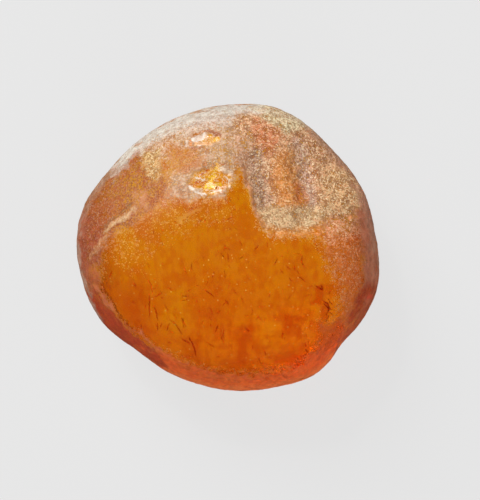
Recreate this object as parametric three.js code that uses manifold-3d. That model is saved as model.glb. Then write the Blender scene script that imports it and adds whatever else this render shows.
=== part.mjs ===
// A raw lump of amber, one solid, lying on its flattest side.
//
// Millimetres, +Z up. X runs along the longest way across, and the resting face is on Z = 0 under
// the middle of the lump. The lump starts as an icosphere, which is swollen to the girth and the
// crown of the stone, worn flat in a few places, and then broken where flakes came off.

import * as THREE from "three";
import { mergeVertices } from "three/addons/utils/BufferGeometryUtils.js";
import Module from "manifold-3d";

// Driving dimensions
const LENGTH = 42;
const THICKNESS = 24;
const BELLY_HEIGHT = 10; // of the widest girth, above the resting face
const RESTING_CUT = 1.1; // what the resting face takes off the rounded underside

// How square the shoulders are: 2 is an ellipse, more is fuller.
const SHOULDER_ABOVE = 2.25;
const SHOULDER_BELOW = 2.3;

// The sphere's triangles are drawn towards the crown, where the breaks are.
const SPHERE_DETAIL = 18;
const DRAWN_TO_CROWN = 0.22;
const WELD = 1e-5; // vertices closer than this are one

// The girth seen from above: degrees from +X, and radius. A smooth closed curve joins them.
const GIRTH = [
  [0, 21.3], [20, 20.9], [36, 20.2], [56, 20.6], [74, 20.9], [92, 20.2],
  [112, 19.6], [132, 19.8], [150, 20.1], [166, 20.9], [182, 21.1], [200, 20.8],
  [216, 20.3], [231, 19.4], [254, 19.4], [274, 20.4], [290, 21.1], [305, 21.8],
  [313, 21.5], [321, 21.1], [331, 21.9], [346, 22.1],
];

// Worn facets: the direction each one faces (azimuth, and tilt from +Z, in degrees), how deep it
// cuts into what stands out furthest that way, and how soft its edge is.
const FACETS = [
  { name: "crown window", azimuth: 255, tilt: 9, depth: 0.7, edge: 1.0 },
  { name: "crust face", azimuth: 42, tilt: 36, depth: 1.1, edge: 0.8 },
  { name: "upper left shoulder", azimuth: 138, tilt: 44, depth: 0.3, edge: 1.0 },
  { name: "lower left bevel", azimuth: 221, tilt: 54, depth: 1.0, edge: 0.22 },
  { name: "lower bevel", azimuth: 268, tilt: 56, depth: 0.6, edge: 0.3 },
  { name: "right rim", azimuth: 4, tilt: 58, depth: 0.7, edge: 0.3 },
  { name: "lower right break", azimuth: 322, tilt: 58, depth: 0.8, edge: 0.22 },
  { name: "underside left", azimuth: 186, tilt: 144, depth: 1.0, edge: 0.8 },
  { name: "underside right", azimuth: 22, tilt: 140, depth: 1.1, edge: 0.7 },
  { name: "underside front", azimuth: 284, tilt: 142, depth: 0.8, edge: 0.8 },
  { name: "underside back", azimuth: 98, tilt: 138, depth: 0.9, edge: 0.8 },
];
const FACET_CROWN = 0.1; // share of the cut that is left, so that no facet is truly flat

// Long low waves all over: the direction each one runs, its length and its height.
const WAVES = [
  { along: [0.8, 0.5, 0.33], length: 17, height: 0.13 },
  { along: [-0.45, 0.83, 0.33], length: 12, height: 0.1 },
  { along: [0.2, -0.35, 0.92], length: 9, height: 0.08 },
];

// The flake missing at the upper right: its floor lies below a step along the left and lower sides.
const FLAKE_CORNER = [4.1, 1.9];
const FLAKE_CORNER_RADIUS = 2.5;
const FLAKE_LEFT_LEAN = 10; // degrees that the left side leans from +Y towards -X
const FLAKE_LOWER_FALL = 5; // degrees that the lower side falls from +X towards -Y
const FLAKE_DEPTH = 1.1;
const FLAKE_STEP_WIDTH = 1.5;
const FLAKE_FADE = [3, 10]; // height over the belly between which the depth comes in

// Flutes run down the flake's floor, and run out towards the top over FLUTE_END.
const FLUTES = [
  { x: 5.4, top: 14.5, halfWidth: 1.5, depth: 0.45 },
  { x: 10.8, top: 13.5, halfWidth: 1.6, depth: 0.55 },
];
const FLUTE_END = 4;

// Small shell-shaped chips: middle, half-widths along X and Y, and depth. The depth comes in over
// CHIP_SLOPE, a share of the half-width.
const CHIPS = [
  { x: -2.9, y: 15.0, halfWidths: [2.5, 1.5], depth: 0.55 },
  { x: -2.1, y: 8.9, halfWidths: [3.3, 3.1], depth: 0.7 },
];
const CHIP_SLOPE = 0.7;

const AMBER = new THREE.MeshStandardMaterial({ color: 0xcc6a10, roughness: 0.4, metalness: 0 });

const radians = THREE.MathUtils.degToRad;
const smoothstep = THREE.MathUtils.smoothstep;

// The girth's radius at any angle in degrees, from one turn before to one turn after the list.
const turns = [-1, 0, 1].flatMap((turn) => GIRTH.map(([at, radius]) => [at + 360 * turn, radius]));
const girth = new THREE.CubicInterpolant(
  turns.map(([at]) => at),
  turns.map(([, radius]) => radius),
  1,
  [0],
);

// Runs change(point, index) on each vertex of a geometry.
function eachVertex(geometry, change) {
  const position = geometry.getAttribute("position");
  const point = new THREE.Vector3();
  for (let index = 0; index < position.count; index += 1) {
    point.fromBufferAttribute(position, index);
    change(point, index);
    position.setXYZ(index, point.x, point.y, point.z);
  }
}

// Moves each vertex outwards along its normal by amount(point).
function pushOut(geometry, amount) {
  geometry.computeVertexNormals();
  const normals = geometry.getAttribute("normal").clone();
  const normal = new THREE.Vector3();
  eachVertex(geometry, (point, index) => {
    normal.fromBufferAttribute(normals, index);
    point.addScaledVector(normal, amount(point));
  });
}

// The same surface with its vertices shared, and nothing but their positions.
function welded(geometry) {
  const bare = geometry.clone();
  bare.deleteAttribute("normal");
  bare.deleteAttribute("uv");
  return mergeVertices(bare, WELD);
}

// An icosphere swollen to the stone's girth, crown and underside, with the belly on Z = 0.
function roundedLump() {
  const lump = welded(new THREE.IcosahedronGeometry(1, SPHERE_DETAIL));
  eachVertex(lump, (point) => {
    const up = (point.z + DRAWN_TO_CROWN) / (1 + DRAWN_TO_CROWN * point.z);
    const across = Math.sqrt(Math.max(0, 1 - up * up));
    const angle = Math.atan2(point.y, point.x);
    const radius = girth.evaluate(THREE.MathUtils.radToDeg(angle))[0];
    const height = up > 0 ? THICKNESS - BELLY_HEIGHT : BELLY_HEIGHT + RESTING_CUT;
    const power = up > 0 ? SHOULDER_ABOVE : SHOULDER_BELOW;
    const reach = Math.pow(across / radius, power) + Math.pow(Math.abs(up) / height, power);
    const distance = Math.pow(reach, -1 / power);
    point.set(across * Math.cos(angle), across * Math.sin(angle), up).multiplyScalar(distance);
  });
  return lump;
}

// Wears a facet: what stands out past its plane is pressed back to it, with a soft edge.
function wearFacet(geometry, facet) {
  const azimuth = radians(facet.azimuth);
  const tilt = radians(facet.tilt);
  const flat = Math.sin(tilt);
  const outward = new THREE.Vector3(flat * Math.cos(azimuth), flat * Math.sin(azimuth), Math.cos(tilt));
  let furthest = -Infinity;
  eachVertex(geometry, (point) => {
    furthest = Math.max(furthest, point.dot(outward));
  });
  const plane = furthest - facet.depth;
  eachVertex(geometry, (point) => {
    const over = point.dot(outward) - plane;
    const pressed = facet.edge * Math.log1p(Math.exp(over / facet.edge));
    point.addScaledVector(outward, -pressed * (1 - FACET_CROWN));
  });
}

// Height of the long waves at a point.
function waveHeight(point) {
  return WAVES.reduce((sum, wave, index) => {
    const along = point.dot(new THREE.Vector3(...wave.along));
    return sum + wave.height * Math.sin((2 * Math.PI * along) / wave.length + index);
  }, 0);
}

// How far a point lies inside the flake's outline, seen from above.
function insideFlake(point) {
  const x = point.x - FLAKE_CORNER[0];
  const y = point.y - FLAKE_CORNER[1];
  const lean = radians(FLAKE_LEFT_LEAN);
  const fall = radians(FLAKE_LOWER_FALL);
  const fromLeft = x * Math.cos(lean) + y * Math.sin(lean);
  const fromBelow = x * Math.sin(fall) + y * Math.cos(fall);
  const shortLeft = FLAKE_CORNER_RADIUS - fromLeft;
  const shortBelow = FLAKE_CORNER_RADIUS - fromBelow;
  if (shortLeft > 0 && shortBelow > 0) {
    return FLAKE_CORNER_RADIUS - Math.hypot(shortLeft, shortBelow);
  }
  return Math.min(fromLeft, fromBelow);
}

// Depth of the missing flake, with its flutes, at a point.
function flakeDepth(point) {
  const floor = smoothstep(insideFlake(point), 0, FLAKE_STEP_WIDTH);
  const upper = smoothstep(point.z, ...FLAKE_FADE);
  const flutes = FLUTES.reduce((sum, flute) => {
    const across = smoothstep(1 - Math.abs(point.x - flute.x) / flute.halfWidth, 0, 1);
    const below = smoothstep(flute.top - point.y, 0, FLUTE_END);
    return sum + flute.depth * across * below;
  }, 0);
  return floor * upper * (FLAKE_DEPTH + flutes);
}

// Depth of the small chips at a point. They are all on the upper side.
function chipDepth(point) {
  if (point.z < 0) {
    return 0;
  }
  return CHIPS.reduce((sum, chip) => {
    const x = (point.x - chip.x) / chip.halfWidths[0];
    const y = (point.y - chip.y) / chip.halfWidths[1];
    return sum + chip.depth * smoothstep(1 - Math.hypot(x, y), 0, CHIP_SLOPE);
  }, 0);
}

// Scales and moves the lump to its true length and thickness, with Z = 0 where it will be cut.
function fitToSize(geometry) {
  geometry.computeBoundingBox();
  const size = geometry.boundingBox.getSize(new THREE.Vector3());
  const middle = geometry.boundingBox.getCenter(new THREE.Vector3());
  const across = LENGTH / size.x;
  const upward = (THICKNESS + RESTING_CUT) / size.z;
  geometry.translate(-middle.x, -middle.y, -geometry.boundingBox.min.z);
  geometry.scale(across, across, upward);
  geometry.translate(0, 0, -RESTING_CUT);
}

// Cuts away everything below Z = 0, which leaves the resting face.
async function cutRestingFace(geometry) {
  const wasm = await Module();
  wasm.setup();
  const solid = (source) => {
    const closed = welded(source);
    const vertProperties = new Float32Array(closed.getAttribute("position").array);
    const triVerts = new Uint32Array(closed.getIndex().array);
    return new wasm.Manifold(new wasm.Mesh({ numProp: 3, vertProperties, triVerts }));
  };
  const block = new THREE.BoxGeometry(2 * LENGTH, 2 * LENGTH, LENGTH);
  block.translate(0, 0, -LENGTH / 2);
  const cut = solid(geometry).subtract(solid(block)).getMesh();
  const result = new THREE.BufferGeometry();
  result.setAttribute("position", new THREE.BufferAttribute(new Float32Array(cut.vertProperties), 3));
  result.setIndex(new THREE.BufferAttribute(new Uint32Array(cut.triVerts), 1));
  result.computeVertexNormals();
  return result;
}

async function buildAmber() {
  const lump = roundedLump();
  FACETS.forEach((facet) => wearFacet(lump, facet));
  pushOut(lump, waveHeight);
  pushOut(lump, (point) => -flakeDepth(point) - chipDepth(point));
  fitToSize(lump);
  const amber = new THREE.Mesh(await cutRestingFace(lump), AMBER);
  amber.name = "amber";
  return amber;
}

const group = new THREE.Group();
group.add(await buildAmber());

export default group;
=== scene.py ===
"""A raw lump of amber on a pale floor, seen from straight above.

The CAD lump is remeshed finely and worked over: the flake, its flutes, the chips, the ridges and the
crust's grain are cut into the mesh. What lies on the resin and how the resin is tinted are worked
out for each vertex from outlines and strokes, and the material breaks their edges up into grain.
Some of it is painted light: a glow along the lower side and rim, a sheen over the upper left, shade
down the flutes, light along the flake's step, and glints in the chips and the crust.
Hairline cracks and specks are small meshes sealed inside.
"""

import math
import random

import bmesh
import bpy
import numpy as np
from mathutils import Matrix, Vector, noise


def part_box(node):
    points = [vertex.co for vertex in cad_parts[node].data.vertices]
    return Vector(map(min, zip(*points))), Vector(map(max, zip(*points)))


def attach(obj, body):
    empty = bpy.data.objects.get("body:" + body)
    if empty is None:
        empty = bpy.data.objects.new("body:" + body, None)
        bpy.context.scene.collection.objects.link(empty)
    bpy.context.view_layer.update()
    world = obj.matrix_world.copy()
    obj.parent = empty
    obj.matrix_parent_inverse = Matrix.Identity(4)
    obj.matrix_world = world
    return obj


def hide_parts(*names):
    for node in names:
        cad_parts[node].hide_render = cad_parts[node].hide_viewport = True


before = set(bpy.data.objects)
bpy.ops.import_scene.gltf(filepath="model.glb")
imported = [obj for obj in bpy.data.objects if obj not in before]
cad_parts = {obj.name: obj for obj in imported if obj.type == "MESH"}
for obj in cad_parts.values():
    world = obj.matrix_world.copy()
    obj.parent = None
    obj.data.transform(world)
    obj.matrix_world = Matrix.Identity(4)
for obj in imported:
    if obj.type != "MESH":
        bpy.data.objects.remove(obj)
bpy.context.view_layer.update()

# ---------------------------------------------------------------------------------------------
# Driving sizes. Places and sizes are in millimetres on a lump 42 mm long, and MM makes them metres.
# Outlines are drawn at the belly's level, seen from above: what lies higher is drawn a little wider.
# Colours are screen values from 0 to 255.
# ---------------------------------------------------------------------------------------------

LUMP_LENGTH = 42.0
low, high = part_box("amber")
MM = (high.x - low.x) / LUMP_LENGTH
centre = (low + high) / 2
SEED = 7

VOXEL = 0.42  # edge of a cell when the lump is remeshed
FACET_SMOOTHING = 14  # passes that melt the CAD facets away
STEP = ((2.2, 14.0), (3.6, 4.0))  # the step down into the flake, which is worn soft
STEP_SMOOTHING = 200  # passes that wear the step
STEP_WORN = 2.8  # how far to each side of the step they reach
BASE_KEPT = 0.06  # vertices lower than this stay on the resting face
INSET = 0.12  # the fine mesh starts this far inside the CAD lump, to leave room for the grain
FINE_FROM = 0.15  # faces that face up more than this are split once
CHIP_REACH = 3.4  # faces this close to a chip are split twice
BELLY = 10.0  # height of the widest line
SPREAD = 0.0043  # how much wider outlines are drawn for each mm above the belly
CHIPS = [(-2.9, 15.1), (-2.3, 9.1)]

# The two chips seen from above: middle, and half-widths along X and Y.
DISH = ((-2.9, 15.2), (2.2, 1.0))
CRUMPLE = ((-2.4, 9.2), (3.0, 2.0))
DISH_DEPTH = 0.35
CRUMPLE_DEPTH = 0.15
CRUMPLE_RELIEF = 0.55  # share of the small planes' height that is used
SMALL_PLANES = 13
PLANES_SPREAD = (2.8, 2.0)  # how far from the chip's middle they are strewn
FLAKE_DROP = 0.28

# The flake missing at the upper right, and the flutes that run down its floor: start, end,
# half-width and depth.
FLAKE = [
    (5.2, 2.0), (4.2, 3.8), (3.5, 5.6), (3.0, 7.6), (2.5, 9.6), (1.9, 11.5), (1.4, 14.5), (0.8, 17.5),
    (2.0, 21.0), (10.0, 21.0), (16.0, 16.0), (20.0, 10.5), (21.5, 5.0), (17.6, 4.0), (14.4, 2.4),
    (11.0, 2.0), (6.8, 1.5),
]
FLUTES = [
    ((3.3, 13.0), (5.1, 6.2), 1.2, 0.32),
    ((9.5, 14.6), (11.9, 5.8), 1.2, 0.34),
    ((14.0, 12.0), (15.2, 7.0), 0.7, 0.16),
]
RIDGES = [
    ((7.2, 13.4), (9.2, 6.0), 1.5, 0.3),
    ((-17.2, 2.1), (-13.2, 5.4), 0.4, 0.22),
    ((-19.0, -1.4), (-16.8, 1.4), 0.35, 0.16),
    ((-18.5, -5.2), (-16.0, -8.7), 0.3, 0.12),
    ((-16.0, -8.7), (-11.6, -12.9), 0.3, 0.12),
    ((-11.6, -12.9), (-5.0, -16.9), 0.3, 0.1),
    ((17.0, -10.4), (19.8, -5.6), 0.3, 0.14),
]

# Deposits on the upper side, one with a painted sheen, laid on in this order: outline, how far the
# edge fades, how much of the resin is covered, how sugary it is, and colour.
DEPOSITS_AND_PAINTED_SHEEN = [
    # left shoulder
    ([(-22, -4), (-18.4, -3.4), (-17.2, -0.4), (-14.2, 2.0), (-11.2, 3.6), (-9.4, 5.2), (-7.6, 8.2),
      (-9, 12), (-12, 17), (-22, 12)], 1.5, 0.68, 0.7, (160, 80, 36)),
    # left edge
    ([(-21, 4), (-18.6, 4.4), (-17.2, 1.0), (-17.6, -2.6), (-21, -3)], 0.8, 0.8, 0.6, (164, 78, 46)),
    ([(-21.5, -2.4), (-18.0, -2.4), (-17.4, -4.2), (-18.2, -6.6), (-21.5, -8)], 0.7, 0.7, 0.3,
     (192, 96, 54)),
    # veil round the chips
    ([(-8.2, 6.8), (-6.0, 5.6), (-1.0, 6.0), (0.4, 7.6), (1.6, 10.6), (2.4, 13.0), (2.2, 21),
      (-9, 21), (-14, 16), (-10.6, 12.6), (-8.0, 11.6)], 1.1, 0.8, 0.8, (204, 172, 142)),
    # haze over the top: a frosty skin, made paler with a painted sheen
    ([(-14.5, 14.0), (-9.0, 15.6), (-4.5, 16.6), (0.2, 17.2), (2.4, 19.0), (1.0, 22), (-14, 22)],
     1.4, 0.9, 0.6, (219, 210, 197)),
    # orange patch left of the chips
    ([(-8.6, 14.2), (-4.2, 13.8), (-3.8, 11.2), (-5.6, 10.4), (-8.4, 10.6)], 1.0, 0.6, 0.7, (190, 124, 74)),
    # pink spot and cream patch on the shoulder
    ([(-13.0, 7.8), (-11.2, 7.8), (-11.0, 5.4), (-12.8, 5.2)], 0.8, 0.7, 0.6, (200, 138, 98)),
    ([(-11.9, 13.6), (-9.4, 13.4), (-9.2, 10.6), (-10.4, 9.4), (-11.4, 10.4)], 0.6, 0.9, 0.9,
     (204, 168, 108)),
    # faint veil over the top of the window
    ([(-16.5, 0.0), (-13.5, 2.0), (-9, 6), (0.5, 6.6), (1.2, 4.2), (-4, 2.6), (-9, 0.6), (-12.5, -3.4),
      (-15.5, -2.5)], 1.4, 0.14, 0.8, (228, 146, 58)),
    # the flake's floor: all of it, and the patches on it
    (FLAKE, 0.8, 0.95, 1.0, (222, 173, 129)),
    ([(12.9, 11.6), (18.6, 10.4), (18.9, 4.6), (13.4, 5.0)], 1.0, 0.95, 1.0, (226, 182, 130)),
    ([(6.6, 13.2), (9.0, 13.4), (10.9, 9), (10.6, 5.6), (7.2, 5.6), (6.2, 9.0)], 0.9, 0.84, 0.9,
     (228, 158, 90)),
    ([(9.3, 9.2), (10.8, 9.0), (10.7, 6.2), (9.2, 6.4)], 0.6, 0.8, 0.8, (214, 118, 58)),
    ([(3.4, 18.2), (5.6, 17.4), (7.4, 16.2), (7.2, 14.2), (5.0, 12.6), (3.6, 14.0)], 0.7, 0.88, 0.9,
     (212, 138, 94)),
    ([(3.6, 21), (4.2, 18.6), (6.0, 17.2), (8.4, 15.8), (9.8, 16.4), (12, 18)], 0.6, 0.95, 1.0,
     (224, 210, 168)),
    ([(4.0, 5.4), (5.2, 6.4), (8.6, 5.2), (10.8, 6.2), (14.4, 6.0), (15.2, 3.2), (10.0, 2.2), (7.2, 1.7),
      (5.4, 2.6)],
     0.8, 1.0, 0.9, (222, 190, 142)),
    ([(3.4, 5.2), (4.3, 5.2), (5.2, 3.4), (7.4, 2.4), (14.0, 3.4), (14.6, 1.4), (6.8, 1.0), (4.4, 2.6)],
     0.7, 0.62, 0.8, (226, 156, 86)),
    # pale patch along the flake's left side
    ([(0.4, 15.6), (3.4, 15.6), (3.6, 12.4), (2.8, 9.8), (1.4, 11.0)], 0.8, 0.85, 0.8, (218, 180, 150)),
    # dark band outside the lower left bevel
    ([(-20.0, -6.4), (-18.5, -5.6), (-15.9, -9.1), (-13.0, -11.8), (-11.0, -13.6), (-6.6, -16.4),
      (-7.4, -18.5), (-13, -18), (-22, -10)], 0.5, 0.7, 0.1, (188, 50, 16)),
    # thin skin over the lower right
    ([(12.6, -10.4), (16.4, -9.0), (17.0, -11.6), (12.8, -16.8), (10.8, -16.4), (13.2, -12.6)], 0.9, 0.5,
     0.4, (204, 86, 24)),
    # speckled band and smooth skin down the right side
    ([(12.4, 2.6), (17.4, 4.4), (19.0, 0), (18.4, -6), (17.0, -11), (15.8, -10.6), (15.2, -5.4),
      (13.4, -0.6)], 1.4, 0.58, 0.85, (226, 124, 54)),
    ([(12.8, 4.0), (18.4, 4.6), (18.8, 1.8), (14.0, 0.8)], 0.9, 0.75, 0.9, (222, 152, 108)),
    ([(17.6, 5.2), (22, 7), (22, -5.6), (18.6, -6.6), (18.8, -1.5)], 0.8, 0.8, 0.3, (204, 124, 94)),
]

# Lines of deposit, and of painted shade and light on the flake: start, end, half-width, how much is
# covered, how sugary, and colour.
STREAKS = [
    # the next two: crust down the flutes, darkened as painted shade in the grooves
    ((4.0, 13.2), (5.0, 6.6), 0.85, 0.95, 1.0, (190, 158, 132)),
    ((9.9, 14.6), (11.6, 6.8), 0.85, 0.95, 1.0, (204, 168, 144)),
    # the next two: a paler band along the flake's step, painted light laid over the step's shadow
    ((2.4, 11.2), (3.1, 7.6), 0.34, 0.85, 0.6, (236, 176, 132)),
    ((3.1, 7.6), (4.4, 3.6), 0.34, 0.85, 0.6, (236, 176, 132)),
    ((-17.3, 2.6), (-13.5, 5.9), 0.22, 0.85, 0.6, (150, 104, 60)),
    ((-17.2, 2.0), (-13.0, 5.2), 0.2, 0.9, 0.6, (214, 178, 132)),
    ((-19.0, -1.4), (-16.8, 1.4), 0.3, 0.75, 0.5, (202, 150, 108)),
    ((-18.5, -5.2), (-16.0, -8.7), 0.22, 0.75, 0.1, (222, 122, 80)),
    ((-16.0, -8.7), (-13.4, -11.2), 0.14, 0.6, 0.1, (214, 104, 60)),
    ((-13.0, -11.2), (-10.6, -13.6), 0.18, 0.7, 0.1, (222, 120, 78)),
    ((-10.6, -13.6), (-5.0, -16.9), 0.2, 0.7, 0.1, (226, 106, 60)),
    ((-5.0, -16.9), (3.0, -18.6), 0.3, 0.6, 0.1, (240, 104, 46)),
    ((17.0, -10.2), (19.5, -5.6), 0.6, 0.8, 0.2, (184, 62, 14)),
    ((18.4, -9.6), (20.4, -5.6), 0.35, 0.8, 0.1, (204, 104, 76)),
    ((19.5, -7.0), (19.7, -6.6), 0.26, 0.9, 0.1, (226, 70, 36)),
    ((-6.6, 3.8), (-3.9, 5.2), 0.3, 0.5, 0.3, (224, 156, 80)),
]

# Along the silhouette, deposits and painted light: from and to in degrees from +X, how far in it
# reaches, how much it covers, how sugary it is, and colour.
RIMS = [
    # a frosty skin along the upper left rim, made paler with a painted sheen
    (72, 150, 2.3, 0.95, 0.5, (217, 215, 203)),
    (30, 60, 1.2, 0.9, 0.6, (200, 158, 128)),
    (58, 78, 1.6, 0.9, 0.9, (218, 204, 170)),
    (-14, 34, 1.5, 0.85, 0.25, (204, 148, 122)),
    (146, 178, 1.6, 0.85, 0.4, (170, 122, 94)),
    (172, 200, 1.7, 0.85, 0.3, (176, 92, 62)),
    (172, 212, 0.7, 0.9, 0.2, (190, 150, 128)),
    # the next two: a painted glow where light comes through the lower rim
    (238, 318, 3.6, 0.72, 0.2, (255, 102, 6)),
    (238, 322, 1.0, 0.85, 0.2, (255, 124, 46)),
    (318, 350, 1.2, 0.75, 0.1, (190, 84, 50)),
]

# On the sides: where a noise field runs from start to end, what lies there.
SIDE_SKIN = [
    ("broad", -0.2, 0.4, 0.35, 0.8, (206, 120, 56)),
    ("patches", 0.05, 0.4, 0.6, 0.9, (200, 130, 76)),
    ("patches", -0.15, -0.45, 0.5, 0.3, (176, 70, 30)),
]

# Broken faces, crushed edges and painted glints in the two chips: start, end, half-width, polish and
# colour. The white marks are crushed edges and painted glints; the bright gold ones are painted glints.
CHIP_MARKS = [
    ((-4.4, 14.5), (-2.6, 14.5), 0.34, 0.6, (246, 196, 140)),
    ((-4.9, 14.9), (-4.2, 15.1), 0.24, 0.5, (255, 250, 240)),
    ((-4.3, 15.2), (-3.5, 15.5), 0.32, 0.5, (252, 244, 232)),
    ((-3.3, 15.6), (-3.3, 16.0), 0.14, 0.5, (255, 250, 240)),
    ((-2.6, 15.5), (-1.5, 15.1), 0.32, 1.0, (238, 186, 72)),
    ((-4.7, 15.6), (-3.4, 16.2), 0.12, 0.6, (198, 120, 14)),
    ((-3.2, 16.2), (-2.4, 16.2), 0.17, 0.3, (166, 92, 0)),
    ((-2.4, 16.2), (-1.2, 15.6), 0.2, 0.3, (166, 92, 0)),
    ((-5.7, 14.8), (-5.8, 14.3), 0.13, 0.5, (252, 240, 224)),
    ((-5.5, 14.3), (-5.3, 13.9), 0.09, 0.5, (240, 220, 200)),
    ((-5.3, 14.7), (-5.0, 14.2), 0.12, 0.6, (232, 140, 60)),
    ((-5.5, 14.0), (-4.7, 13.8), 0.09, 0.6, (176, 86, 52)),
    ((-4.7, 13.8), (-3.7, 13.9), 0.07, 0.6, (186, 100, 60)),
    ((-4.2, 14.2), (-3.8, 14.1), 0.1, 0.6, (255, 244, 228)),
    ((-0.9, 10.9), (0.4, 10.3), 0.34, 0.4, (238, 220, 192)),
    ((-4.4, 8.7), (-3.0, 8.7), 0.24, 0.9, (236, 152, 34)),
    ((-1.4, 11.4), (-2.0, 10.0), 0.26, 1.0, (248, 196, 44)),
    ((-2.0, 10.0), (-2.9, 8.3), 0.32, 1.0, (252, 206, 48)),
    ((-2.8, 8.6), (-2.6, 8.3), 0.22, 1.0, (255, 242, 96)),
    ((-2.4, 8.5), (-0.9, 8.8), 0.18, 1.0, (255, 214, 60)),
    ((-1.4, 9.3), (-0.3, 9.2), 0.28, 1.0, (240, 150, 14)),
    ((-4.4, 9.7), (-3.3, 9.4), 0.18, 0.5, (250, 244, 226)),
    ((-5.2, 8.3), (-4.3, 7.9), 0.22, 0.5, (250, 244, 230)),
    ((-4.4, 8.1), (-3.6, 8.1), 0.14, 0.5, (236, 214, 180)),
    ((-4.1, 7.8), (-3.2, 7.4), 0.24, 0.5, (255, 252, 240)),
    ((-3.7, 10.1), (-2.6, 10.8), 0.13, 0.8, (204, 106, 18)),
    ((-5.3, 8.6), (-4.5, 9.0), 0.1, 0.8, (206, 104, 14)),
    ((-4.5, 9.05), (-3.5, 9.05), 0.12, 0.8, (206, 104, 14)),
    ((-1.3, 11.5), (-0.3, 11.5), 0.08, 0.7, (184, 104, 30)),
    ((0.0, 9.6), (0.3, 8.4), 0.16, 0.5, (255, 238, 208)),
    ((-0.4, 9.9), (0.1, 9.4), 0.14, 0.5, (250, 236, 210)),
    ((-1.7, 8.3), (-0.9, 8.5), 0.09, 0.8, (196, 112, 22)),
    ((-0.9, 8.5), (-0.6, 8.1), 0.09, 0.8, (196, 112, 22)),
    ((-2.3, 7.9), (-0.9, 7.8), 0.15, 0.5, (255, 234, 212)),
]

# Places where the resin itself is tinted: outline, how far the edge fades, strength, and tint.
STAINS = [
    ([(11.4, -5.3), (12.4, -5.6), (13.3, -5.2), (13.2, -6.4), (13.4, -7.6), (11.6, -7.9), (12.0, -6.6)],
     0.2, 0.8, (216, 84, 8)),
    ([(13.3, -7.6), (14.0, -7.8), (14.1, -9.2), (13.7, -10.2), (13.2, -9.4)], 0.2, 0.85, (206, 76, 8)),
    ([(6.5, -9.4), (8.4, -9.2), (11.1, -9.6), (11.0, -10.3), (6.7, -10.2)], 0.2, 0.75, (214, 86, 8)),
    ([(7.3, -10.2), (9.3, -10.3), (9.4, -12.0), (7.5, -12.4)], 0.25, 0.8, (214, 80, 8)),
    ([(9.2, -10.7), (10.3, -10.5), (10.1, -12.8), (9.6, -12.4)], 0.2, 0.75, (196, 74, 8)),
    ([(1.6, -10.9), (3.8, -10.7), (3.4, -12.8), (1.8, -12.6)], 0.3, 0.65, (212, 82, 8)),
    ([(1.0, -12.5), (2.6, -12.6), (2.6, -16.3), (1.2, -16.0)], 0.4, 0.6, (214, 84, 8)),
    ([(-0.5, -15.6), (2.3, -15.4), (2.2, -16.9), (-0.2, -16.8)], 0.3, 0.6, (212, 80, 8)),
    ([(5.9, -14.9), (8.4, -14.4), (11.7, -14.7), (11.2, -16.6), (6.4, -16.4)], 0.25, 0.7, (210, 84, 8)),
    ([(11.6, -10.3), (15.6, -10.4), (16.0, -12.4), (13.4, -16.4), (11.6, -16.0), (12.4, -13.0)],
     0.5, 0.65, (220, 88, 14)),
    ([(-6.8, -12.3), (-4.2, -12.6), (-4.0, -15.4), (-6.2, -15.2)], 0.5, 0.5, (214, 84, 8)),
    ([(-18.4, -4.6), (-15.6, -4.8), (-12.4, -8.4), (-10, -12.6), (-11.4, -12.8), (-16, -8.4)], 1.0, 0.55,
     (222, 92, 6)),
    ([(-9.5, -5.6), (-6.2, -5.4), (-4.8, -9.4), (-6.4, -12.0), (-8.4, -11.2), (-9.4, -8.2)], 1.2, 0.85,
     (255, 208, 10)),
    ([(-14.4, -5.0), (-11.4, -5.6), (-10.6, -9.6), (-12.2, -11.4), (-14.6, -8.6)], 1.0, 0.5, (212, 84, 4)),
    ([(-3.4, -3.0), (-1.4, -3.0), (-0.6, -9.6), (-2.4, -10.4), (-3.6, -7.0)], 1.0, 0.35, (222, 92, 4)),
    ([(4.4, -9.6), (6.4, -8.4), (7.0, -14.4), (4.6, -14.0)], 0.8, 0.4, (255, 200, 10)),
    ([(-15.8, 1.2), (-13.2, 2.2), (-12.6, -0.6), (-15.2, -1.2)], 0.9, 0.6, (255, 204, 10)),
    ([(-16.4, -2.4), (-13.6, -1.6), (-13.2, -4.0), (-15.6, -4.6)], 0.7, 0.4, (255, 204, 10)),
    ([(0.6, 12.0), (2.4, 11.0), (3.4, 4.0), (-0.4, 5.2)], 0.6, 0.9, (255, 212, 10)),
    ([(-12, 2), (-4, 5.6), (4, 5), (4, -2), (-10, -3)], 1.6, 0.35, (255, 204, 8)),
    ([(14, 2), (19, 3), (19, -8), (16.6, -9), (15.4, -5)], 1.4, 0.7, (226, 96, 16)),
    ([(-22, 8), (-15, 6), (-16.6, 0), (-22, -4)], 1.4, 0.6, (222, 100, 16)),
]

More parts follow.
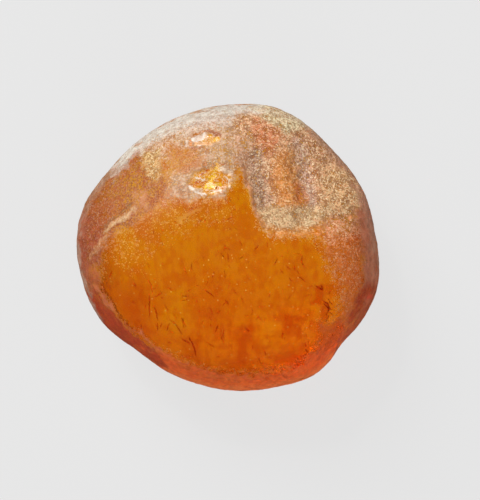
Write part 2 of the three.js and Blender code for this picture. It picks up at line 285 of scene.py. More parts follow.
# Hairline cracks placed one by one: each a line of points seen from above.
CRACKS = [
    [(-3.3, -5.8), (-2.8, -6.1), (-1.9, -6.8)],
    [(-10.9, -6.3), (-10.8, -7.8), (-10.9, -9.7)],
    [(-10.2, -8.1), (-9.9, -9.0), (-9.7, -10.1)],
    [(-8.1, -9.9), (-7.3, -10.6), (-6.3, -12.0)],
    [(-12.0, -10.6), (-11.9, -11.3), (-11.6, -12.1)],
    [(-16.4, -4.2), (-16.2, -3.8), (-16.0, -3.2)],
    [(-11.1, -4.4), (-10.6, -5.2), (-10.4, -6.4)],
    [(-10.0, -6.8), (-9.4, -6.5), (-9.1, -6.3)],
    [(-13.1, -4.9), (-12.7, -5.5)],
    [(10.3, -1.0), (10.2, -1.9), (10.6, -2.8)],
    [(-5.4, -12.4), (-4.8, -13.5), (-4.4, -15.0)],
    [(-6.4, -12.6), (-5.2, -13.4)],
    [(12.0, -5.2), (13.2, -5.9), (12.8, -5.2)],
    [(13.2, -7.7), (13.9, -8.4), (13.6, -9.4)],
    [(-4.2, 3.2), (-3.3, 4.2)],
    [(-6.5, -9.7), (-5.8, -11.0)],
    [(-6.3, -6.8), (-5.6, -6.8)],
    [(-8.3, -13.0), (-7.8, -13.3)],
    [(-1.8, -11.7), (-1.3, -10.7)],
    [(9.2, -2.5), (9.3, -3.2)],
    [(13.1, -7.3), (13.8, -7.8), (14.0, -8.5), (14.5, -8.5)],
    [(2.4, -11.1), (2.9, -11.7)],
]
CRACK_WIDTH = 0.15
PLACED_WIDER = 1.3  # how much wider the placed cracks are
CRACK_DEPTH = 0.22
CRACK_SEALED = 0.05  # resin left over a crack
CRACK_STEP = 0.3  # length of one stretch of a crack
CRACK_WANDER = 0.07  # how far a stretch's start strays from the line
STRAY_CRACKS = 150
STRAY_LENGTH = (0.3, 1.2)
STRAY_WIDTH = (0.6, 1.1)  # shares of CRACK_WIDTH
STRAY_LEAN = (100, 0.7)  # mean direction in degrees from +X, and spread in radians
CRACK_COLOUR = (255, 112, 30)
DARK_SPECKS = 160
SPECK_RADIUS = (0.05, 0.1)
SPECK_SEALED = (0.03, 0.25)  # resin left over a speck
SPECK_COLOUR = (255, 130, 44)

# The part of the window where stray cracks and specks are scattered.
WINDOW = [(-16.5, -2), (-9, 4.4), (1.5, 7.5), (4.5, 1.2), (14, 0.6), (16.2, -7), (12, -15), (1, -17.4),
          (-9, -12.8), (-15, -6.6)]

# What is there before anything is laid on or stained.
BARE_DEPOSIT = (196, 128, 78)
BARE_GRIT = 0.8
RESIN_TINT = (0.97, 0.54, 0.006)  # a linear colour

# Colours of what has no outline in the lists above.
# The lower tint is a painted glow: the resin made redder towards the lower side, where light comes through.
LOWER_PAINTED_GLOW = (246, 114, 8)
CORNER_STAIN = (214, 88, 8)
WORN_SKIN = (202, 144, 106)
# The three chip colours below are a painted reflection: gold light thrown back by the broken faces.
CHIP_PAINTED_GLINT = (255, 214, 20)
CRUMPLE_FACE = (232, 166, 52)
DISH_FACE = (240, 190, 120)

# Colours that the material brings in, small feature by small feature.
CRUST_SHADE = (190, 168, 158)  # multiplies the deposit's colour, as CRUST_ROSE does
CRUST_ROSE = (255, 228, 226)
# the pale crystals' colour, partly painted glints of the crust's small facets
CRYSTAL_AND_GLINT = (255, 236, 196)
RESIN_SHADE = (240, 204, 194)  # multiplies the resin's tint
FLECK_COLOUR = (250, 186, 96)
CREASE_COLOUR = (200, 104, 16)
# the thin white lines on the broken faces are painted glints
GLINT_COLOUR = (255, 246, 222)

# Light and camera
FLOOR_WIDTH = 60  # in lengths of the lump
FLOOR_GLOW = 0.705
FLOOR_SHADE = 0.08
VIEW_HEIGHT = 69.3  # what the frame takes in at the belly's level
VIEW_OFFSET = (1.6, -0.35)
KEY = {"direction": (-0.5, 0.75, 0.66), "distance": 700, "width": 460, "power": 4.6}
SPARKLE = {"direction": (-0.34, 0.6, 0.9), "distance": 600, "width": 46, "power": 0.52}
FILL = {"direction": (0.12, -0.92, 0.32), "distance": 700, "width": 460, "power": 1.45}
SKY_LOW, SKY_HIGH = 0.78, 0.42  # strength near the horizon and overhead


# ---------------------------------------------------------------------------------------------
# Small tools
# ---------------------------------------------------------------------------------------------


def linear(screen):
    """A linear colour from screen values of 0 to 255."""
    values = np.array(screen, float) / 255
    return np.where(values <= 0.04045, values / 12.92, ((values + 0.055) / 1.055) ** 2.4)


def smoothstep(value, start, end):
    t = np.clip((value - start) / (end - start), 0.0, 1.0)
    return t * t * (3 - 2 * t)


def fractal(points, size, seed, octaves=4):
    """Fractal noise of a feature size in mm, about -1 to 1."""
    shift = Vector((31.7, 17.3, 7.9)) * seed
    return np.array(
        [noise.fractal(Vector(p) / size + shift, 1.0, 2.0, octaves) for p in points.tolist()]
    )


def inside(plan, outline):
    """How far each plan point lies inside a closed outline; negative is outside."""
    nearest = np.full(len(plan), 1e9)
    within = np.zeros(len(plan), bool)
    for (ax, ay), (bx, by) in zip(outline, outline[1:] + outline[:1]):
        nearest = np.minimum(nearest, beside(plan, (ax, ay), (bx, by)))
        crosses = (ay > plan[:, 1]) != (by > plan[:, 1])
        with np.errstate(divide="ignore", invalid="ignore"):
            at = ax + (plan[:, 1] - ay) * (bx - ax) / (by - ay)
        within ^= crosses & (plan[:, 0] < at)
    return np.where(within, nearest, -nearest)


def beside(plan, start, end):
    """Distance of each plan point from a line between two points."""
    edge = np.array(end, float) - start
    offset = plan - np.array(start, float)
    along = np.clip(offset @ edge / (edge @ edge), 0, 1)
    return np.linalg.norm(offset - along[:, None] * edge, axis=1)


def oval(plan, middle, half_widths):
    """0 in the middle of an ellipse and 1 on its edge, for each plan point."""
    return np.hypot(*((plan - np.array(middle)) / np.array(half_widths)).T)


def bell(distance, half_width):
    return np.exp(-((distance / half_width) ** 2))


def link(obj):
    bpy.context.scene.collection.objects.link(obj)
    return obj


# ---------------------------------------------------------------------------------------------
# The lump's mesh
# ---------------------------------------------------------------------------------------------


def remeshed(node):
    """A fine, even mesh of a CAD node, in mm."""
    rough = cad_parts[node].data.copy()
    rough.transform(Matrix.Scale(1 / MM, 4))
    worker = link(bpy.data.objects.new("amber_rough", rough))
    voxels = worker.modifiers.new("voxels", "REMESH")
    voxels.mode = "VOXEL"
    voxels.voxel_size = VOXEL
    graph = bpy.context.evaluated_depsgraph_get()
    mesh = bpy.data.meshes.new_from_object(worker.evaluated_get(graph))
    bpy.data.objects.remove(worker)
    bpy.data.meshes.remove(rough)
    mesh.name = "amber_lump"
    return mesh


def coordinates(mesh):
    points = np.empty(len(mesh.vertices) * 3)
    mesh.vertices.foreach_get("co", points)
    return points.reshape(-1, 3)


def normals(mesh, points):
    """Puts the vertices at points, and gives their normals there."""
    mesh.vertices.foreach_set("co", points.ravel())
    mesh.update()
    found = np.empty(len(mesh.vertices) * 3)
    mesh.vertex_normals.foreach_get("vector", found)
    return found.reshape(-1, 3)


def smoothed(mesh, points, passes, share=1.0):
    """Moves each vertex towards the middle of its neighbours; the resting face stays level."""
    step = 0.5 * np.broadcast_to(share, len(points))[:, None]
    ends = np.empty(len(mesh.edges) * 2, int)
    mesh.edges.foreach_get("vertices", ends)
    one, other = ends.reshape(-1, 2).T
    count = len(points)
    neighbours = np.bincount(one, minlength=count) + np.bincount(other, minlength=count)
    on_base = points[:, 2] < BASE_KEPT
    for _ in range(passes):
        total = np.stack(
            [
                np.bincount(one, points[other, axis], count)
                + np.bincount(other, points[one, axis], count)
                for axis in range(3)
            ],
            axis=1,
        )
        points = points + step * (total / neighbours[:, None] - points)
        points[on_base, 2] = 0.0
    return points


def split(mesh, wanted):
    """Cuts in four each face that wanted(face) picks."""
    work = bmesh.new()
    work.from_mesh(mesh)
    edges = {edge for face in work.faces if wanted(face) for edge in face.edges}
    bmesh.ops.subdivide_edges(work, edges=list(edges), cuts=1, use_grid_fill=True)
    work.to_mesh(mesh)
    work.free()


def near_chip(face):
    spot = face.calc_center_median()
    close = min(math.hypot(spot.x - x, spot.y - y) for x, y in CHIPS) < CHIP_REACH
    return close and face.normal.z > FINE_FROM


def silhouette_distance(plan):
    """How far each plan point lies inside the lump's outline, measured from the middle."""
    slices = 120
    span = 360 / slices
    angle = np.degrees(np.arctan2(plan[:, 1], plan[:, 0])) % 360
    reach = np.hypot(plan[:, 0], plan[:, 1])
    furthest = np.zeros(slices)
    np.maximum.at(furthest, (angle / span).astype(int), reach)
    middles = (np.arange(-1, slices + 1) + 0.5) * span
    edge = np.interp(angle, middles, np.concatenate([furthest[-1:], furthest, furthest[:1]]))
    return edge - reach, angle


def facets(plan, middle, seed):
    """A crumple of small tilted planes round a point: height in mm."""
    draw = random.Random(seed)
    height = np.zeros(len(plan))
    nearest = np.full(len(plan), 1e9)
    for _ in range(SMALL_PLANES):
        x = middle[0] + draw.uniform(-PLANES_SPREAD[0], PLANES_SPREAD[0])
        y = middle[1] + draw.uniform(-PLANES_SPREAD[1], PLANES_SPREAD[1])
        lean = draw.uniform(0, 2 * math.pi)
        slope = draw.uniform(0.15, 0.5)
        offset = plan - (x, y)
        distance = np.hypot(offset[:, 0], offset[:, 1] * 1.4)
        plane = slope * (offset[:, 0] * math.cos(lean) + offset[:, 1] * math.sin(lean))
        height = np.where(distance < nearest, plane, height)
        nearest = np.minimum(nearest, distance)
    return height


class Skin:
    """What each vertex carries for the material."""

    def __init__(self, count):
        self.deposit = np.tile(linear(BARE_DEPOSIT), (count, 1))
        self.cover = np.zeros(count)
        self.grit = np.full(count, BARE_GRIT)
        self.tint = np.tile(np.array(RESIN_TINT), (count, 1))
        self.polish = np.zeros(count)

    def lay(self, mask, cover, grit, screen):
        """Lays a colour over what is there, where the mask is over 0; some calls lay deposits, some painted
        light.
        """
        self.deposit += (linear(screen) - self.deposit) * (mask * smoothstep(mask, 0, 0.4))[:, None]
        self.cover += (cover - self.cover) * mask
        self.grit += (grit - self.grit) * mask

    def tint_with(self, mask, screen):
        """Tints the resin itself."""
        self.tint += (linear(screen) - self.tint) * mask[:, None]

    def write(self, mesh):
        for name in ("cover", "grit", "polish", "deposit", "tint"):
            values = np.clip(getattr(self, name), 0, 1).astype(np.float32)
            kind, field = ("FLOAT", "value") if values.ndim == 1 else ("FLOAT_VECTOR", "vector")
            mesh.attributes.new(name, kind, "POINT").data.foreach_set(field, values.ravel())


class Ground:
    """The fine mesh's points and normals in mm, and the masks and noises worked out from them."""

    def __init__(self, mesh):
        self.points = points = coordinates(mesh)
        self.facing = normals(mesh, points)
        self.up = up = self.facing[:, 2]
        self.top = smoothstep(up, 0.1, 0.35)
        self.side = smoothstep(up, 0.35, 0.05) * smoothstep(up, -0.8, -0.5)
        warp = np.stack([fractal(points, 2.2, 1), fractal(points, 2.2, 2)], axis=1)
        ragged = np.stack([fractal(points, 0.6, 3, 3), fractal(points, 0.6, 4, 3)], axis=1)
        torn = np.stack([fractal(points, 0.3, 11, 2), fractal(points, 0.3, 12, 2)], axis=1)
        self.plain = points[:, :2] * (1 + SPREAD * (points[:, 2:] - BELLY))
        self.plan = self.plain + 0.5 * warp + 0.3 * ragged
        self.etched = self.plain + 0.2 * ragged + 0.16 * torn
        self.patches = fractal(points, 3.4, 5)
        self.blotches = fractal(points, 1.1, 6, 3)
        self.broad = fractal(points, 7.0, 10, 3)
        self.upper = smoothstep(up + 0.25 * self.patches + 0.15 * self.blotches, -0.3, 0.15)
        self.from_edge, self.angle = silhouette_distance(self.plain)
        crumple_edge = oval(self.plain, *CRUMPLE) + 0.25 * self.blotches
        self.dish = smoothstep(oval(self.plain, *DISH), 1.0, 0.3) * self.top
        self.crumple = smoothstep(crumple_edge, 1.1, 0.75) * self.top
        self.chips = np.maximum(self.dish, self.crumple)


def tint_resin(skin, ground):
    plain = ground.plain
    skin.tint *= (1 + 0.05 * ground.patches[:, None] * np.array((0, 1, 0)))
    # Redder towards the lower side: a painted glow of the light that comes through there.
    low_part = smoothstep(plain[:, 1], 4, -17) * ground.upper
    skin.tint_with(0.62 * low_part, LOWER_PAINTED_GLOW)
    for outline, fade, strength, screen in STAINS:
        mask = smoothstep(inside(ground.plan, outline), -fade, fade)
        skin.tint_with(mask * strength * ground.top, screen)
    towards_corner = smoothstep(plain[:, 1] - 0.5 * plain[:, 0], -4, -18)
    reddened = towards_corner * smoothstep(ground.blotches, 0.08, 0.3)
    skin.tint_with(0.5 * reddened * ground.top, CORNER_STAIN)


def lay_deposits_and_painted_light(skin, ground):
    fields = {"broad": ground.broad, "patches": ground.patches}
    for field, start, end, cover, grit, screen in SIDE_SKIN:
        skin.lay(ground.side * smoothstep(fields[field], start, end), cover, grit, screen)
    for outline, fade, cover, grit, screen in DEPOSITS_AND_PAINTED_SHEEN:
        mask = smoothstep(inside(ground.plan, outline), -fade, fade)
        skin.lay(mask * ground.upper, cover, grit, screen)
    for start, end, half_width, cover, grit, screen in STREAKS:
        mask = bell(beside(ground.plan, start, end), half_width * 1.2)
        skin.lay(mask * ground.upper, cover, grit, screen)
    over_belly = smoothstep(ground.up + 0.35 * ground.patches + 0.15 * ground.blotches, -0.2, 0.25)
    # The rims lay painted light as well: a sheen on the upper left and a glow along the lower rim.
    for start, end, reach, cover, grit, screen in RIMS:
        middle, half = (start + end) / 2, (end - start) / 2
        off = np.abs((ground.angle - middle + 180) % 360 - 180)
        off = off + 14 * ground.patches + 5 * ground.broad
        rim = smoothstep(ground.from_edge + 0.5 * ground.blotches, reach, reach * 0.25)
        skin.lay(smoothstep(off, half + 6, half - 6) * rim * over_belly, cover, grit, screen)


def wear_pale_skin(skin, ground):
    """The pale skin goes thin and rusty towards the underside."""
    worn = smoothstep(ground.up + 0.5 * ground.blotches + 0.5 * ground.patches, 0.16, -0.2)
    worn_pale = worn * smoothstep(skin.deposit[:, 2], 0.2, 0.5)
    skin.lay(0.75 * worn_pale, 0.55, 0.6, WORN_SKIN)


def mark_chips(skin, ground):
    # The chips' gold, in the resin and on the faces, is a painted reflection of light from the broken
    # faces.
    skin.tint_with(ground.chips, CHIP_PAINTED_GLINT)
    skin.lay(ground.crumple, 0.7, 0.0, CRUMPLE_FACE)
    skin.lay(ground.dish * 0.6, 0.6, 0.2, DISH_FACE)
    skin.polish = ground.chips.copy()
    for start, end, half_width, polish, screen in CHIP_MARKS:
        mark = smoothstep(beside(ground.etched, start, end), half_width * 1.3, half_width * 0.7)
        skin.lay(mark * ground.top, 1.0, 0.0, screen)
        skin.polish += (polish - skin.polish) * mark


def relief(skin, ground):
    """How far the surface stands out or is cut in, in mm."""
    points, plan, upper = ground.points, ground.plan, ground.upper
    height = -DISH_DEPTH * ground.dish
    small_planes = facets(ground.plain, CHIPS[1], SEED)
    height += ground.crumple * (CRUMPLE_RELIEF * small_planes - CRUMPLE_DEPTH)
    flake = inside(plan, FLAKE)
    step = smoothstep(ground.plain[:, 1], 14.5, 11.0) * smoothstep(ground.from_edge, 0.3, 2.5)
    height -= FLAKE_DROP * smoothstep(flake, -0.2, 0.6) * step * upper
    for start, end, half_width, depth in FLUTES:
        height -= depth * bell(beside(plan, start, end), half_width) * upper
    for start, end, half_width, rise in RIDGES:
        height += rise * bell(beside(plan, start, end), half_width) * upper
    rough = np.clip(skin.cover, 0, 1) * (1 - skin.polish)
    height += rough * (0.05 * fractal(points, 0.5, 7, 3) + 0.1 * fractal(points, 2.4, 8, 3))
    height += (1 - rough) * 0.025 * fractal(points, 1.6, 9, 3)
    return height


def build_lump():
    mesh = remeshed("amber")
    points = smoothed(mesh, coordinates(mesh), FACET_SMOOTHING)
    by_the_step = bell(beside(points[:, :2], *STEP), STEP_WORN)
    normals(mesh, smoothed(mesh, points, STEP_SMOOTHING, by_the_step))
    split(mesh, lambda face: face.normal.z > FINE_FROM)
    split(mesh, near_chip)

    ground = Ground(mesh)
    skin = Skin(len(ground.points))
    tint_resin(skin, ground)
    lay_deposits_and_painted_light(skin, ground)
    wear_pale_skin(skin, ground)
    mark_chips(skin, ground)
    height = np.minimum(relief(skin, ground), INSET * 0.9) - INSET
    points = ground.points + ground.facing * height[:, None]
    points[:, 2] = np.maximum(points[:, 2], 0.0)

    normals(mesh, points)
    skin.write(mesh)
    mesh.transform(Matrix.Scale(MM, 4))
    mesh.shade_smooth()
    return link(bpy.data.objects.new("amber_lump", mesh))


# ---------------------------------------------------------------------------------------------
# What is sealed inside
# ---------------------------------------------------------------------------------------------


def surface_under(lump, x, y, sealed):
    """The point that lies sealed mm below the lump's upper surface, in mm, or None beside it."""
    spread = 1.0
    for _ in range(2):
        above = Vector((x * MM / spread, y * MM / spread, high.z * 2))
        hit, place, normal, _ = lump.ray_cast(above, Vector((0, 0, -1)))
        if not hit:
            return None
        spread = 1 + SPREAD * (place.z / MM - BELLY)
    return place / MM - normal * sealed


def ribbon(work, lump, path, width):
    """A thin blade standing under the surface along a path, narrowing to under half its width and depth at
    both ends.
    """
    draw = random.Random(round(path[0][0] * 100 + path[0][1] * 10))
    line = []
    for (ax, ay), (bx, by) in zip(path, path[1:]):
        steps = max(2, round(math.hypot(bx - ax, by - ay) / CRACK_STEP))
        for step in range(steps):
            t = step / steps
            x = ax + (bx - ax) * t + draw.uniform(-CRACK_WANDER, CRACK_WANDER)
            y = ay + (by - ay) * t + draw.uniform(-CRACK_WANDER, CRACK_WANDER)
            line.append((x, y))
    line.append(path[-1])
    rings = []
    for index, (x, y) in enumerate(line):
        spot = surface_under(lump, x, y, CRACK_SEALED)
        if spot is None:
            return
        before, after = line[max(index - 1, 0)], line[min(index + 1, len(line) - 1)]
        along = Vector((after[0] - before[0], after[1] - before[1], 0)).normalized()
        side = along.cross(Vector((0, 0, 1)))
        taper = 0.45 + 0.55 * math.sin(math.pi * index / (len(line) - 1))
        half = side * width * taper / 2
        drop = Vector((0, 0, -CRACK_DEPTH * taper))
        rings.append([work.verts.new(spot + offset) for offset in (half, -half, drop)])
    for one, two in zip(rings, rings[1:]):
        for k in range(3):
            work.faces.new((one[k], two[k], two[k - 2], one[k - 2]))
    work.faces.new(rings[0])
    work.faces.new(reversed(rings[-1]))


def sealed_piece(name, work, material):
    bmesh.ops.recalc_face_normals(work, faces=work.faces)
    bmesh.ops.scale(work, vec=(MM, MM, MM), verts=work.verts)
    mesh = bpy.data.meshes.new(name)
    work.to_mesh(mesh)
    work.free()
    mesh.materials.append(material)
    obj = link(bpy.data.objects.new(name, mesh))
    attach(obj, "root")


def field_spot(draw):
    """A place in the window, drawn at random."""
    while True:
        x, y = draw.uniform(-18, 17), draw.uniform(-18, 8)
        if inside(np.array([(x, y)]), WINDOW)[0] > 0:
            return x, y


def build_cracks(lump):
    work = bmesh.new()
    for path in CRACKS:
        ribbon(work, lump, path, CRACK_WIDTH * PLACED_WIDER)
    draw = random.Random(SEED)
    for _ in range(STRAY_CRACKS):
        x, y = field_spot(draw)
        lean = draw.gauss(math.radians(STRAY_LEAN[0]), STRAY_LEAN[1])
        reach = draw.uniform(*STRAY_LENGTH)
        end = (x + reach * math.cos(lean), y + reach * math.sin(lean))
        ribbon(work, lump, [(x, y), end], CRACK_WIDTH * draw.uniform(*STRAY_WIDTH))
    sealed_piece("hairline_cracks", work, plain_material("crack", CRACK_COLOUR, 0.6))


def build_specks(lump):
    work = bmesh.new()
    draw = random.Random(SEED + 2)
    for _ in range(DARK_SPECKS):
        x, y = field_spot(draw)
        radius = draw.uniform(*SPECK_RADIUS) * draw.uniform(0.6, 1.0)
        spot = surface_under(lump, x, y, radius + draw.uniform(*SPECK_SEALED))
        stretch = Matrix.Diagonal((draw.uniform(0.7, 1.3), draw.uniform(0.7, 1.3), 0.6, 1.0))
        place = Matrix.Translation(spot) @ stretch
        bmesh.ops.create_icosphere(work, subdivisions=1, radius=radius, matrix=place)
    sealed_piece("dark_specks", work, plain_material("dark_specks", SPECK_COLOUR, 0.5))


# ---------------------------------------------------------------------------------------------
# Materials
# ---------------------------------------------------------------------------------------------


def screen_colour(screen):
    """A linear colour that a socket takes."""
    return tuple(linear(screen))


class Nodes:
    """Short calls that add and join shader nodes."""

    def __init__(self, name):
        self.material = bpy.data.materials.new(name)
        self.material.use_nodes = True
        self.tree = self.material.node_tree
        self.tree.nodes.clear()
        self.output = self.tree.nodes.new("ShaderNodeOutputMaterial")

    def add(self, kind, inputs=None, **settings):
        node = self.tree.nodes.new("ShaderNode" + kind)
        for name, value in settings.items():
            setattr(node, name, value)
        for name, value in (inputs or {}).items():
            self.set(node.inputs[name], value)
        return node

    def set(self, socket, value):
        if isinstance(value, bpy.types.NodeSocket):
            self.tree.links.new(value, socket)
        elif hasattr(socket.default_value, "__len__") and len(value) == 3:
            length = len(socket.default_value)
            socket.default_value = tuple(value) + (1.0,) * (length - 3)
        else:
            socket.default_value = value

    def attribute(self, name, output="Fac"):
        return self.add("Attribute", attribute_name=name).outputs[output]

    def place(self, stretch=(1, 1, 1)):
        where = self.add("TexCoord").outputs["Object"]
        return self.add("Mapping", {"Vector": where, "Scale": stretch}).outputs["Vector"]

    def noise(self, size, detail=2.0, stretch=(1, 1, 1)):
        """Noise with features of a size in mm, round 0.5."""
        inputs = {"Vector": self.place(stretch), "Scale": 1 / (size * MM), "Detail": detail}
        return self.add("TexNoise", inputs).outputs["Fac"]

    def cells(self, size):
        """Cells of a size in mm: distance from each one's middle in mm, and two random numbers."""
        node = self.add("TexVoronoi", {"Vector": self.place(), "Scale": 1 / (size * MM)})
        numbers = self.add("SeparateColor", {"Color": node.outputs["Color"]}).outputs
        return self.math("MULTIPLY", node.outputs["Distance"], size), numbers["Red"], numbers["Green"]

    def math(self, operation, first, second=0.0):
        node = self.add("Math", operation=operation)
        self.set(node.inputs[0], first)
        self.set(node.inputs[1], second)
        return node.outputs[0]

    def shifted(self, value, noises):
        """value plus each noise's swing round 0.5, times its weight."""
        for source, weight in noises:
            swing = self.math("MULTIPLY", self.math("SUBTRACT", source, 0.5), weight)
            value = self.math("ADD", value, swing)
        return value

    def mix(self, factor, first, second, blend="MIX"):
        """For colours: first at factor 0, second at factor 1."""
        node = self.add("Mix", data_type="RGBA", blend_type=blend)
        self.set(node.inputs[0], factor)
        self.set(node.inputs[6], first)
        self.set(node.inputs[7], second)
        return node.outputs[2]

    def blend(self, factor, first, second):
        """For numbers: first at factor 0, second at factor 1."""
        node = self.add("Mix", data_type="FLOAT")
        self.set(node.inputs[0], factor)
        self.set(node.inputs[2], first)
        self.set(node.inputs[3], second)
        return node.outputs[0]

    def range(self, value, start, end, low_value=0.0, high_value=1.0):
        node = self.add("MapRange", interpolation_type="SMOOTHSTEP")
        for name, number in zip(
            ("Value", "From Min", "From Max", "To Min", "To Max"),
            (value, start, end, low_value, high_value),
        ):
            self.set(node.inputs[name], number)
        return node.outputs[0]


def amber_material():
    """Clear resin, with a crust where the mesh's cover says so, and bare polish in the chips."""
    n = Nodes("amber")
    cover = n.attribute("cover")
    deposit = n.attribute("deposit", "Color")
    tint = n.attribute("tint", "Color")
    grit = n.attribute("grit")
    polish = n.attribute("polish")

    # Noises and cells, with their sizes in mm.
    grain = n.noise(0.16, 3.0)
    sugar = n.noise(0.32, 3.0)
    mottle = n.noise(0.95, 4.0)
    cloud = n.noise(3.6, 3.0)
    brushed = n.noise(0.7, 4.0, (1.0, 0.55, 1.0))
    _, crystal, other_number = n.cells(0.15)
    from_fleck, fleck_number, _ = n.cells(0.62)

    # Where the crust lies: the cover, broken up by the noises and stippled where it is sugary.
    swing = n.shifted(0.0, [(grain, 0.5), (sugar, 0.9), (mottle, 1.1)])
    swing = n.math("MULTIPLY", swing, n.blend(grit, 0.25, 1.0))
    spread = n.math("ADD", cover, swing)
    covered = n.blend(0.25, n.range(spread, 0.25, 0.75), cover)
    stipple = n.math("ADD", n.math("ADD", cover, n.math("MULTIPLY", swing, 0.6)), crystal)
    covered = n.blend(n.math("MULTIPLY", grit, 0.65), covered, n.range(stipple, 0.9, 1.1))
    covered = n.math("MULTIPLY", covered, n.range(cover, 0.0, 0.1))

    # The crust's colour, crystal by crystal, or streaky where it is smooth.
    dark = n.mix(1.0, deposit, screen_colour(CRUST_SHADE), "MULTIPLY")
    rosy = n.mix(1.0, deposit, screen_colour(CRUST_ROSE), "MULTIPLY")
    # Pale crystals: the crust's grain, made paler as painted glints of its small facets.
    pale = n.mix(n.range(grit, 0.7, 1.0, 0.22, 0.42), deposit, screen_colour(CRYSTAL_AND_GLINT))
    crust = n.mix(n.range(other_number, 0.6, 0.7), deposit, rosy)
    crust = n.mix(n.range(mottle, 0.38, 0.6), dark, crust)
    crust = n.mix(n.range(crystal, 0.16, 0.34), dark, crust)
    crust = n.mix(n.range(n.shifted(crystal, [(sugar, 1.2)]), 0.7, 0.95), crust, pale)
    streaky = n.mix(n.range(brushed, 0.42, 0.58), dark, deposit)
    crust = n.mix(grit, n.mix(0.45, deposit, streaky), crust)

    # The resin's colour under it, and pale flecks in the resin.
    deep = n.mix(1.0, tint, screen_colour(RESIN_SHADE), "MULTIPLY")
    clear = n.mix(n.range(n.shifted(cloud, [(brushed, 0.9)]), 0.36, 0.64), deep, tint)
    base = n.mix(covered, clear, crust)
    fleck_size = n.math("ADD", from_fleck, n.math("MULTIPLY", grain, 0.2))
    fleck = n.math("MULTIPLY", n.range(fleck_size, 0.24, 0.14), n.range(fleck_number, 0.55, 0.7))
    fleck = n.math("MULTIPLY", fleck, n.range(n.math("ADD", polish, cover), 0.4, 0.1))
    base = n.mix(n.math("MULTIPLY", fleck, 0.7), base, screen_colour(FLECK_COLOUR))
    clearness_of_fleck = n.range(fleck, 0.0, 1.0, 1.0, 0.5)

    # Dark creases, and thin white lines on the broken faces that are painted glints.
    crease = n.math("ABSOLUTE", n.math("SUBTRACT", n.noise(0.5, 3.0), 0.5))
    crease = n.math("MULTIPLY", n.range(crease, 0.035, 0.01), polish)
    base = n.mix(n.math("MULTIPLY", crease, 0.7), base, screen_colour(CREASE_COLOUR))
    glint_line = n.math("ABSOLUTE", n.math("SUBTRACT", n.noise(0.42, 3.0, (1.0, 1.3, 1.0)), 0.52))
    glint_line = n.math("MULTIPLY", n.range(glint_line, 0.03, 0.008), polish)
    base = n.mix(n.math("MULTIPLY", glint_line, 0.7), base, screen_colour(GLINT_COLOUR))

    # Gloss, clearness and relief.
    satin = n.range(mottle, 0.3, 0.7, 0.19, 0.27)
    rough = n.blend(polish, n.blend(covered, satin, 0.62), 0.1)
    clearness = n.blend(covered, 0.92, n.blend(grit, 0.3, 0.1))
    clearness = n.math("MULTIPLY", clearness, clearness_of_fleck)
    relief = n.math("ADD", n.math("MULTIPLY", crystal, 0.25), sugar)
    relief = n.math("MULTIPLY", relief, n.blend(n.math("MULTIPLY", covered, grit), 0.1, 1.0))
    relief = n.math("MULTIPLY", relief, n.blend(polish, 1.0, 0.1))
    bump = n.add("Bump", {"Strength": 0.8, "Distance": 0.12 * MM, "Height": relief})

    surface = n.add(
        "BsdfPrincipled",
        {
            "Base Color": base,
            "Roughness": rough,
            "Transmission Weight": clearness,
            "Normal": bump.outputs["Normal"],
            "IOR": 1.54,
            "Specular IOR Level": 0.25,
        },
    )
    absorption = n.add("VolumeAbsorption", {"Color": (0.975, 0.72, 0.0), "Density": 120.0})
    n.set(n.output.inputs["Surface"], surface.outputs[0])
    n.set(n.output.inputs["Volume"], absorption.outputs[0])
    return n.material


def plain_material(name, screen, rough):
    """An opaque colour with a little mottling, for what is sealed in the resin."""
    n = Nodes(name)
    main = screen_colour(screen)
    dark = tuple(value * 0.7 for value in main)
    base = n.mix(n.range(n.noise(0.3), 0.4, 0.6), main, dark)
    surface = n.add("BsdfPrincipled", {"Base Color": base, "Roughness": rough})
    n.set(n.output.inputs["Surface"], surface.outputs[0])
    return n.material


# ---------------------------------------------------------------------------------------------
# Floor, light and camera
# ---------------------------------------------------------------------------------------------


def floor():
    size = FLOOR_WIDTH * LUMP_LENGTH * MM / 2
    mesh = bpy.data.meshes.new("floor")
    corners = [(x * size, y * size, 0.0) for x, y in ((-1, -1), (1, -1), (1, 1), (-1, 1))]
    mesh.from_pydata(corners, [], [(0, 1, 2, 3)])
    obj = link(bpy.data.objects.new("floor", mesh))
    n = Nodes("pale_floor")
    surface = n.add(
        "BsdfPrincipled",
        {
            "Base Color": (FLOOR_SHADE, FLOOR_SHADE, FLOOR_SHADE),
            "Roughness": 0.9,
            "Specular IOR Level": 0.0,
            "Emission Color": (1.0, 1.0, 1.0),
            "Emission Strength": FLOOR_GLOW,
        },
    )
    n.set(n.output.inputs["Surface"], surface.outputs[0])
    mesh.materials.append(n.material)
    obj.visible_glossy = False


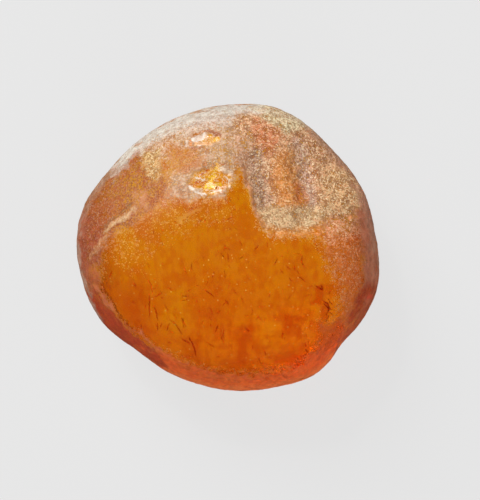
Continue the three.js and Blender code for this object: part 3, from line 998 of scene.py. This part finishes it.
def softbox(name, direction, distance, width, power):
    """A round soft light aimed at the lump's middle."""
    light = bpy.data.lights.new(name, "AREA")
    light.shape = "DISK"
    light.size = width * MM
    light.energy = power
    obj = link(bpy.data.objects.new(name, light))
    away = Vector(direction).normalized()
    obj.location = centre + away * distance * MM
    obj.rotation_mode = "QUATERNION"
    obj.rotation_quaternion = away.to_track_quat("Z", "Y")
    return obj


def sky():
    """Pale near the horizon and dark overhead."""
    world = bpy.data.worlds.new("studio")
    bpy.context.scene.world = world
    world.use_nodes = True
    tree = world.node_tree
    place = tree.nodes.new("ShaderNodeTexCoord")
    split_up = tree.nodes.new("ShaderNodeSeparateXYZ")
    fade = tree.nodes.new("ShaderNodeMapRange")
    fade.interpolation_type = "SMOOTHSTEP"
    for name, value in {"From Min": 0.1, "From Max": 0.5, "To Min": SKY_LOW, "To Max": SKY_HIGH}.items():
        fade.inputs[name].default_value = value
    background = tree.nodes["Background"]
    tree.links.new(place.outputs["Generated"], split_up.inputs[0])
    tree.links.new(split_up.outputs["Z"], fade.inputs["Value"])
    tree.links.new(fade.outputs[0], background.inputs["Strength"])
    background.inputs["Color"].default_value = (1, 1, 1, 1)
    world.cycles_visibility.glossy = False


def camera():
    """A long lens straight above, so that the frame is VIEW_HEIGHT high at the belly's level."""
    data = bpy.data.cameras.new("camera")
    data.lens = 120.0
    data.sensor_width = 36.0
    data.clip_start = 0.01
    data.clip_end = 5.0
    obj = link(bpy.data.objects.new("camera", data))
    distance = VIEW_HEIGHT * MM * data.lens / data.sensor_width
    obj.location = (
        centre.x + VIEW_OFFSET[0] * MM,
        centre.y + VIEW_OFFSET[1] * MM,
        BELLY * MM + distance,
    )
    bpy.context.scene.camera = obj


camera()
floor()
softbox("key", **KEY)
softbox("sparkle", **SPARKLE)
fill = softbox("fill", **FILL)
fill.visible_glossy = False
fill.visible_transmission = False
sky()

lump = build_lump()
lump.data.materials.clear()
lump.data.materials.append(amber_material())
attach(lump, "root")
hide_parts("amber")

bpy.context.view_layer.update()
build_cracks(lump)
build_specks(lump)

bpy.context.scene.view_settings.view_transform = "Standard"
